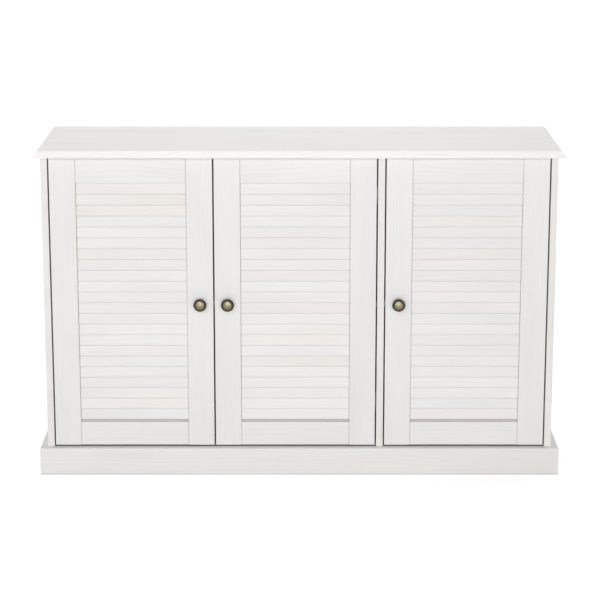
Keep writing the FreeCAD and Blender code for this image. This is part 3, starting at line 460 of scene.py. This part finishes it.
def knobProfile(shape):
    # Half outline of the knob, radius first, then the reach from the door: a bevelled foot, a waist and a
    # flare that are quarters of an ellipse, a rim that is half of one, a bead as half a sine that falls
    # with a cube into the groove, and a dome that is a quarter of an ellipse.
    foot = [(shape["endRadius"], 0.0), (shape["footRadius"] - shape["footBevel"], 0.0),
            (shape["footRadius"], shape["footBevel"]), (shape["footRadius"], shape["footEdge"])]
    turn = np.linspace(0, 1, shape["curveSteps"])[1:] * math.pi / 2
    waist = np.stack([shape["footRadius"] + (shape["waistRadius"] - shape["footRadius"]) * np.sin(turn),
                      shape["footEdge"] + (shape["waistAt"] - shape["footEdge"]) * (1 - np.cos(turn))], 1)
    flareOut = shape["flareRadius"] - shape["waistRadius"]
    flare = np.stack([shape["waistRadius"] + flareOut * (1 - np.cos(turn)),
                      shape["waistAt"] + (shape["rimBack"] - shape["waistAt"]) * np.sin(turn)], 1)
    sweep = np.linspace(-math.pi / 2, math.pi / 2, shape["rimSteps"])
    middle = (shape["rimBack"] + shape["rimFront"]) / 2
    half = (shape["rimFront"] - shape["rimBack"]) / 2
    rim = np.stack([shape["flareRadius"] + (shape["rimRadius"] - shape["flareRadius"]) * np.cos(sweep),
                    middle + half * np.sin(sweep)], 1)
    share = np.linspace(0, 1, shape["beadSteps"])[1:]
    bead = np.stack([shape["flareRadius"] + (shape["grooveRadius"] - shape["flareRadius"]) * share,
                     shape["rimFront"] + shape["beadHeight"] * np.sin(share * math.pi)
                     - shape["grooveDeep"] * share ** 3], 1)
    rise = np.linspace(0, math.pi / 2, shape["domeSteps"])
    low = shape["rimFront"] - shape["grooveDeep"]
    dome = np.stack([shape["domeRadius"] * np.cos(rise), low + (shape["domeTop"] - low) * np.sin(rise)], 1)
    dome[-1, 0] = shape["endRadius"]
    return np.concatenate([foot, waist, flare, rim, bead, dome])


def makeKnob(door, material):
    # The profile turned about the knob's axis: x and z are radius times cosine and sine.
    low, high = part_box(door + "_knob")
    middle = (low + high) / 2
    profile = knobProfile(knobShape) * mm
    angle = np.arange(knobShape["around"]) / knobShape["around"] * math.tau
    radius = profile[:, 0][:, None]
    rows = np.stack([middle.x + radius * np.cos(angle), high.y - profile[:, 1][:, None] + 0 * angle,
                     middle.z + radius * np.sin(angle)], -1)
    share = np.linspace(0, 1, len(profile))[:, None]
    uv = np.stack([angle / math.tau + 0 * share, share + 0 * angle], -1)
    mesh = ringMesh(door + "_turned_knob", rows[None], uv)
    addPiece(door + "_turned_knob", mesh, material, door, door + "_knob")


brassLook = {
    "dull": (0.060, 0.048, 0.030),
    "bright": (0.248, 0.220, 0.148),
    "rubbed": ((0.0, 0.10), (0.50, 0.16), (0.60, 0.10), (0.70, 0.12), (0.755, 0.34), (0.80, 0.06),
               (0.86, 0.62), (1.0, 0.95)),  # place from the foot to the dome's top, then how bright
    "patches": 210.0,  # per metre, as are the pits
    "pits": 900.0,
    "patchShare": 0.95,
    "roughness": 0.50,
    "polish": -0.18,
    "patchRelief": 0.6,
    "pitRelief": 0.4,
    "bump": 0.35,
    "bumpDepth": 0.0002,
}


def brassFinish(look):
    # Antique brass: dull from the foot to the groove and in a ring low on the dome, and rubbed bright
    # towards its top, unevenly. The brighter it is, the smoother.
    material, tree, shader = newMaterial("antiqueBrass", look["roughness"], 1.0)
    coords = addNode(tree, "ShaderNodeTexCoord").outputs
    reach = addNode(tree, "ShaderNodeSeparateXYZ", {0: coords["UV"]}).outputs[1]
    patches = noiseOf(tree, coords["Object"], detail=4.0, roughness=0.62, distortion=0.3,
                      scale=look["patches"])
    pits = noiseOf(tree, coords["Object"], roughness=0.6, scale=look["pits"])
    ramp = addNode(tree, "ShaderNodeValToRGB", {0: reach})
    stops = ramp.color_ramp.elements
    stops.remove(stops[1])
    for number, (spot, tone) in enumerate(look["rubbed"]):
        stop = stops[0] if number == 0 else stops.new(spot)
        stop.position = spot
        stop.color = (tone, tone, tone, 1.0)
    uneven = calc(tree, "SUBTRACT", patches, 0.5)
    rubbed = calc(tree, "MULTIPLY_ADD", uneven, look["patchShare"], ramp.outputs[0], clamp=True)
    colour = mixColour(tree, rubbed, opaque(look["dull"]), opaque(look["bright"]))
    tree.links.new(colour, shader.inputs["Base Color"])
    rough = calc(tree, "MULTIPLY_ADD", rubbed, look["polish"], look["roughness"])
    tree.links.new(rough, shader.inputs["Roughness"])
    height = calc(tree, "MULTIPLY_ADD", patches, look["patchRelief"],
                  calc(tree, "MULTIPLY", pits, look["pitRelief"]))
    bumpInto(tree, shader, height, look["bump"], look["bumpDepth"])
    return material


brass = brassFinish(brassLook)
for door in doors:
    makeKnob(door, brass)
print("knobs turned:", len(doors))


# Screws. Each is rebuilt where its plain cylinder lies in the frame, with its head's drive and thread.
screwKinds = {  # in millimetres; tip is how long the shank takes to narrow
    "knob_screw": {"head": "pan", "headRadius": 4.0, "headHeight": 2.4, "shank": 2.0, "tip": 0.6},
    "cup_screws": {"head": "flat", "headRadius": 3.2, "headHeight": 1.0, "shank": 1.75, "tip": 4.0},
    "plate_screws": {"head": "pan", "headRadius": 3.8, "headHeight": 2.0, "shank": 2.5, "tip": 1.0},
    "arm_screws": {"head": "pan", "headRadius": 3.8, "headHeight": 2.0, "shank": 2.5, "tip": 0.8},
    "back_screws": {"head": "flat", "headRadius": 3.5, "headHeight": 2.2, "shank": 1.75, "tip": 5.0},
}
screwShape = {
    "around": 48,
    "threadDepth": 0.42,
    "threadPitch": 1.5,
    "rowsPerTurn": 4,
    "tipShare": 0.12,  # of the radius, left at the very tip
    "armHalf": 0.52,  # the drive's cross: half the width of an arm
    "armReach": 0.62,  # its length, as a share of the head's radius
    "armBlur": 0.22,  # over which its walls slope
    "driveDepth": 0.62,
    "panSteps": 22,
    "panStart": 0.02,  # first ring, as a share of the quarter turn
    "panRound": (0.8, 0.6),  # powers of the sine and the cosine
    "faceSteps": 18,
    "faceStart": 0.01,  # first ring, as a share of the head's radius
    "coneSteps": 4,
    "coneStart": 0.1,  # its first ring, from the face
    "headShare": 0.9,  # of the head's radius: what is wider is head
}
mergeScale = 1e6  # points that agree to a millionth of a metre are one


def looseParts(node):
    # the separate solids of a node: labels spread along the edges until nothing changes
    mesh = nodes[node].data
    points = np.empty(len(mesh.vertices) * 3)
    mesh.vertices.foreach_get("co", points)
    points = points.reshape(-1, 3)
    edges = np.empty(len(mesh.edges) * 2, dtype=np.int64)
    mesh.edges.foreach_get("vertices", edges)
    _, same = np.unique(np.round(points * mergeScale).astype(np.int64), axis=0, return_inverse=True)
    same = same.ravel()
    pairs = same[edges.reshape(-1, 2)]
    label = np.arange(same.max() + 1)
    while True:
        low = np.minimum(label[pairs[:, 0]], label[pairs[:, 1]])
        spread = label.copy()
        np.minimum.at(spread, pairs[:, 0], low)
        np.minimum.at(spread, pairs[:, 1], low)
        spread = spread[spread]
        if np.array_equal(spread, label):
            break
        label = spread
    owner = label[same]
    return [points[owner == part] for part in np.unique(owner)]


def smoothStep(values, low, high):
    # 0 up to low and 1 from high, and between them three times the square less twice the cube
    share = np.clip((values - low) / (high - low), 0, 1)
    return share * share * (3 - 2 * share)


def headOutline(screw):
    # Radius and reach of the head's rings. A pan head follows powers of the sine and the cosine over a
    # quarter turn, and a flat one is a disc with a cone down to the shank.
    shape = screwShape
    if screw["head"] == "pan":
        turn = np.linspace(shape["panStart"], 1, shape["panSteps"]) * math.pi / 2
        sinePower, cosinePower = shape["panRound"]
        radius = screw["headRadius"] * np.sin(turn) ** sinePower
        return radius, screw["headHeight"] * (1 - np.cos(turn) ** cosinePower)
    share = np.linspace(shape["faceStart"], 1, shape["faceSteps"])
    cone = np.linspace(screw["headRadius"], screw["shank"], shape["coneSteps"] + 1)[1:]
    down = np.linspace(shape["coneStart"], screw["headHeight"], shape["coneSteps"])
    return np.concatenate([screw["headRadius"] * share, cone]), np.concatenate([0 * share, down])


def screwRings(screw, length):
    # The head's rings with the drive as a cross pressed in, then the thread as a ridge that climbs one
    # pitch in a turn. The shank narrows to its tip.
    shape = screwShape
    angle = np.arange(shape["around"]) / shape["around"] * math.tau
    radius, reach = (values[:, None] + 0 * angle for values in headOutline(screw))
    arm = np.abs((angle + math.pi / 4) % (math.pi / 2) - math.pi / 4)
    armEnd = screw["headRadius"] * shape["armReach"]
    cross = 1 - smoothStep(radius * np.sin(arm), shape["armHalf"], shape["armHalf"] + shape["armBlur"])
    cross *= 1 - smoothStep(radius, armEnd, armEnd + shape["armBlur"])
    reach = reach + cross * shape["driveDepth"]
    turns = (length - screw["headHeight"]) / shape["threadPitch"]
    rows = int(turns * shape["rowsPerTurn"]) + 2
    along = np.linspace(screw["headHeight"], length, rows)[:, None] + 0 * angle
    climb = (along / shape["threadPitch"] - angle / math.tau) % 1
    thread = shape["threadDepth"] * (np.abs(2 * climb - 1) - 1)
    narrow = np.clip(shape["tipShare"] + (length - along) / screw["tip"], shape["tipShare"], 1)
    body = (screw["shank"] + thread) * narrow
    return np.concatenate([radius, body]), np.concatenate([reach, along]), angle


def makeScrews(node, kind, body):
    # Each screw points away from its wider end, along the longest side of its box. A point is the start
    # plus reach inwards plus radius times cosine and sine on the two axes across.
    screw = screwKinds[kind]
    copies = []
    for points in looseParts(node):
        low, high = points.min(0) / mm, points.max(0) / mm
        axis = int(np.argmax(high - low))
        across = np.delete(points / mm - (low + high) / 2, axis, 1)
        wide = np.hypot(*across.T) > screw["headRadius"] * screwShape["headShare"]
        headHigh = points[wide, axis].mean() / mm > (low + high)[axis] / 2
        inward = np.zeros(3)
        inward[axis] = -1 if headHigh else 1
        side = np.roll(np.abs(inward), 1)
        start = (low + high) / 2
        start[axis] = high[axis] if headHigh else low[axis]
        radius, reach, angle = screwRings(screw, (high - low)[axis])
        ring = np.cos(angle)[:, None] * side + np.sin(angle)[:, None] * np.cross(inward, side)
        copies.append((start + radius[..., None] * ring + reach[..., None] * inward) * mm)
    mesh = ringMesh(node + "_threaded", np.stack(copies))
    addPiece(node + "_threaded", mesh, zinc, body, node)


makeScrews("back_screws", "back_screws", "cabinet")
makeScrews("hinge_arm_screws", "arm_screws", "cabinet")
for door in doors:
    makeScrews(door + "_plate_screws", "plate_screws", "cabinet")
    makeScrews(door + "_cup_screws", "cup_screws", door)
    makeScrews(door + "_knob_screw", "knob_screw", door)
print("screws threaded")


# Camera, floor, backdrop and lamps, in metres, degrees and watts, with the lens in millimetres.
camera = {"place": (0.0, -5.2, 1.836), "pitch": 12.5, "lens": 115.4, "sensor": 36.0, "shift": (0.0011, -0.14)}
stage = {"half": 30.0, "drop": 0.0004, "tone": 0.70, "nearGlow": 0.560, "farGlow": 1.0, "near": 1.3,
         "far": 3.6}
worldLight = {"level": 0.66, "zenith": 0.22, "low": 0.05, "high": 0.75}  # level up to low, zenith from high
lamps = (  # the last two are from behind, and without sheen they draw no streak over the top
    {"name": "key", "place": (-1.0, -5.0, 2.8), "target": (0, -0.2, 0.5), "size": (3.2, 1.6),
     "power": 75.0, "sheen": True},
    {"name": "fill", "place": (0.2, -5.8, 0.95), "target": (0, -0.2, 0.2), "size": (3.8, 1.6),
     "power": 104.0, "sheen": True},
    {"name": "overhead", "place": (0.0, 0.36, 3.4), "target": (0, 0.1, 0.9), "size": (2.4, 1.0),
     "power": 36.5, "sheen": True},
    {"name": "left", "place": (-4.6, 2.6, 1.7), "target": (-0.4, 0.1, 0.4), "size": (2.6, 1.8),
     "power": 80.0, "sheen": False},
    {"name": "right", "place": (4.6, 2.6, 1.7), "target": (0.4, 0.1, 0.4), "size": (2.6, 1.8),
     "power": 80.0, "sheen": False},
)


def setCamera():
    # faces the front, tipped down by its pitch
    data = bpy.data.cameras.new("camera")
    data.lens = camera["lens"]
    data.sensor_width = camera["sensor"]
    data.shift_x, data.shift_y = camera["shift"]
    holder = bpy.data.objects.new("camera", data)
    holder.location = camera["place"]
    holder.rotation_euler = (math.radians(90 - camera["pitch"]), 0, 0)
    bpy.context.scene.collection.objects.link(holder)
    bpy.context.scene.camera = holder


def whiteToCamera(tree, first, second):
    # what the camera sees directly, or in metal or glass, is the second shader
    rays = addNode(tree, "ShaderNodeLightPath").outputs
    seen = calc(tree, "MAXIMUM", rays["Is Camera Ray"],
                calc(tree, "MAXIMUM", rays["Is Glossy Ray"], rays["Is Transmission Ray"]))
    return addNode(tree, "ShaderNodeMixShader", {0: seen, 1: first, 2: second}).outputs[0]


def setFloor():
    # a square just under the cabinet that glows more with the distance from its middle, so that it
    # stays white where the lamps fade
    half = stage["half"]
    level = cadLow.z - stage["drop"]
    corners = [(-half, -half, level), (half, -half, level), (half, half, level), (-half, half, level)]
    mesh = bpy.data.meshes.new("floor")
    mesh.from_pydata(corners, [], [(0, 1, 2, 3)])
    floor = bpy.data.objects.new("floor", mesh)
    bpy.context.scene.collection.objects.link(floor)
    material = bpy.data.materials.new("floor")
    material.use_nodes = True
    tree = material.node_tree
    tree.nodes.clear()
    matt = addNode(tree, "ShaderNodeBsdfDiffuse", {"Color": opaque((stage["tone"],) * 3)}).outputs[0]
    place = addNode(tree, "ShaderNodeTexCoord").outputs["Object"]
    away = addNode(tree, "ShaderNodeVectorMath", {0: place}, operation="LENGTH").outputs["Value"]
    strength = calc(tree, "MULTIPLY_ADD", riseOf(tree, away, stage["near"], stage["far"]),
                    stage["farGlow"] - stage["nearGlow"], stage["nearGlow"])
    glow = addNode(tree, "ShaderNodeEmission", {"Strength": strength}).outputs[0]
    both = addNode(tree, "ShaderNodeAddShader", {0: matt, 1: glow}).outputs[0]
    addNode(tree, "ShaderNodeOutputMaterial", {"Surface": whiteToCamera(tree, matt, both)})
    mesh.materials.append(material)


def setWorld():
    # light that falls off from the horizon to the zenith, behind a white that the camera sees
    world = bpy.data.worlds.new("studio")
    bpy.context.scene.world = world
    world.use_nodes = True
    tree = world.node_tree
    tree.nodes.clear()
    direction = addNode(tree, "ShaderNodeTexCoord").outputs["Generated"]
    height = addNode(tree, "ShaderNodeSeparateXYZ", {0: direction}).outputs[2]
    strength = calc(tree, "MULTIPLY_ADD", riseOf(tree, height, worldLight["low"], worldLight["high"]),
                    worldLight["zenith"] - worldLight["level"], worldLight["level"])
    light = addNode(tree, "ShaderNodeBackground", {"Strength": strength}).outputs[0]
    white = addNode(tree, "ShaderNodeBackground", {"Color": opaque((1, 1, 1)), "Strength": 1.0}).outputs[0]
    addNode(tree, "ShaderNodeOutputWorld", {"Surface": whiteToCamera(tree, light, white)})


def setLamps():
    # soft rectangles that the camera doesn't see, each turned to its target
    for lamp in lamps:
        data = bpy.data.lights.new(lamp["name"], "AREA")
        data.shape = "RECTANGLE"
        data.size, data.size_y = lamp["size"]
        data.energy = lamp["power"]
        holder = bpy.data.objects.new(lamp["name"], data)
        holder.location = lamp["place"]
        aim = Vector(lamp["target"]) - Vector(lamp["place"])
        holder.rotation_euler = aim.to_track_quat("-Z", "Y").to_euler()
        holder.visible_camera = False
        holder.visible_glossy = lamp["sheen"]
        bpy.context.scene.collection.objects.link(holder)


setCamera()
setFloor()
setWorld()
setLamps()
bpy.context.scene.view_settings.view_transform = "Standard"
print("stage and lamps set")
